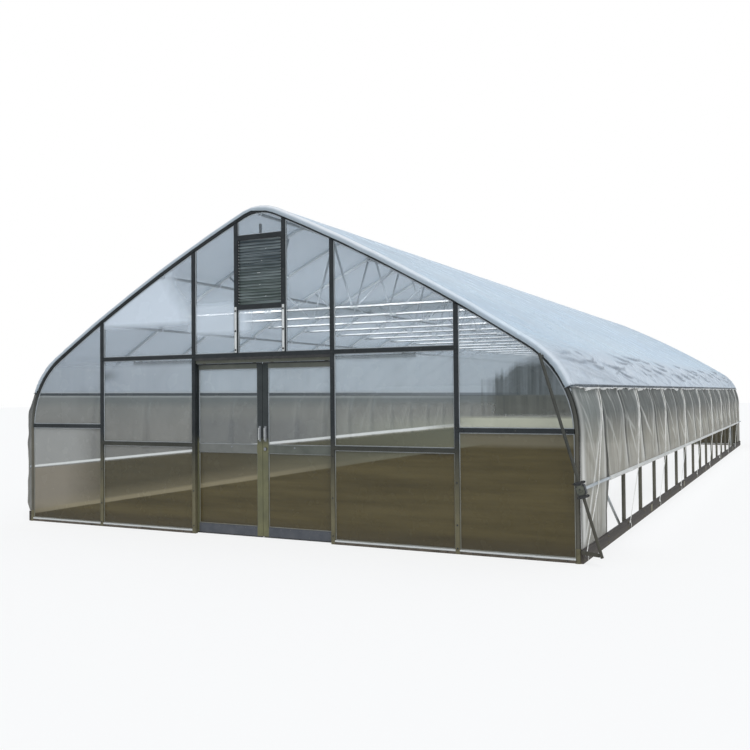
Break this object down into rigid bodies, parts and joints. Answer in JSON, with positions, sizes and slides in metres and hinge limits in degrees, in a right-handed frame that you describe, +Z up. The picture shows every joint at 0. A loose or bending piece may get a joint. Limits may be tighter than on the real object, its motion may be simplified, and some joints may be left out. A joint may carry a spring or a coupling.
{
  "type": "greenhouse with arched film roof and polycarbonate end walls",
  "caption": "Long gothic-arch greenhouse: tube bows, inflated film roof, roll-up side curtains and clear end walls with sliding double doors.",
  "frame": {"origin": "centre of the footprint at ground level", "axes": "+X to the right across the span as seen from the door wall, +Y along the length away from the doors, +Z up"},
  "size_m": [8.4972, 22.326, 4.1651],
  "materials": {
    "tube_steel": "dark weathered galvanized tube",
    "galvanized": "bright galvanized tube",
    "aluminium": "mill-finish extrusion",
    "roof_film": "clear inflated polythene film",
    "curtain_film": "creased translucent polythene film",
    "polycarbonate": "fluted twin-wall polycarbonate",
    "vent_slate": "slate-painted louvre slats",
    "dark_board": "dark weathered board",
    "dark_fitting": "black painted metal",
    "rope": "off-white twisted rope"
  },
  "bodies": {
    "greenhouse_frame": {"ground_posts": "tube_steel", "eave_bends": "tube_steel", "rafters": "tube_steel", "ridge_bends": "tube_steel", "collar_ties": "galvanized", "truss_webs": "galvanized", "purlins": "galvanized", "corner_braces": "galvanized", "hip_rails": "aluminium", "film_locks": "aluminium", "base_boards": "dark_board", "roof_film_left": "roof_film", "roof_film_right": "roof_film", "side_curtains": "curtain_film", "corner_films": "curtain_film", "roll_pipes": "galvanized", "curtain_rolls": "roof_film", "guide_poles": "tube_steel", "curtain_gearboxes": "dark_fitting", "curtain_ropes": "rope", "front_studs": "tube_steel", "front_header": "tube_steel", "front_girts": "tube_steel", "front_sills": "tube_steel", "front_lower_panels": "polycarbonate", "front_upper_panels": "polycarbonate", "front_gable_panels": "polycarbonate", "front_vent_frame": "tube_steel", "front_vent_slats": "vent_slate", "back_studs": "tube_steel", "back_header": "tube_steel", "back_girts": "tube_steel", "back_sills": "tube_steel", "back_lower_panels": "polycarbonate", "back_upper_panels": "polycarbonate", "back_gable_panels": "polycarbonate", "back_vent_frame": "tube_steel", "back_vent_slats": "vent_slate", "door_track": "aluminium"},
    "left_door": {"left_door_frame": "tube_steel", "left_door_panes": "polycarbonate", "left_door_fittings": "dark_fitting"},
    "right_door": {"right_door_frame": "tube_steel", "right_door_panes": "polycarbonate", "right_door_fittings": "dark_fitting"}
  },
  "joints": [
    {"name": "left_door_slide", "type": "slide", "parent": "greenhouse_frame", "child": "left_door", "axis": [-1, 0, 0], "range_m": [0, 0.93]},
    {"name": "right_door_slide", "type": "slide", "parent": "greenhouse_frame", "child": "right_door", "axis": [1, 0, 0], "range_m": [0, 0.93]}
  ]
}
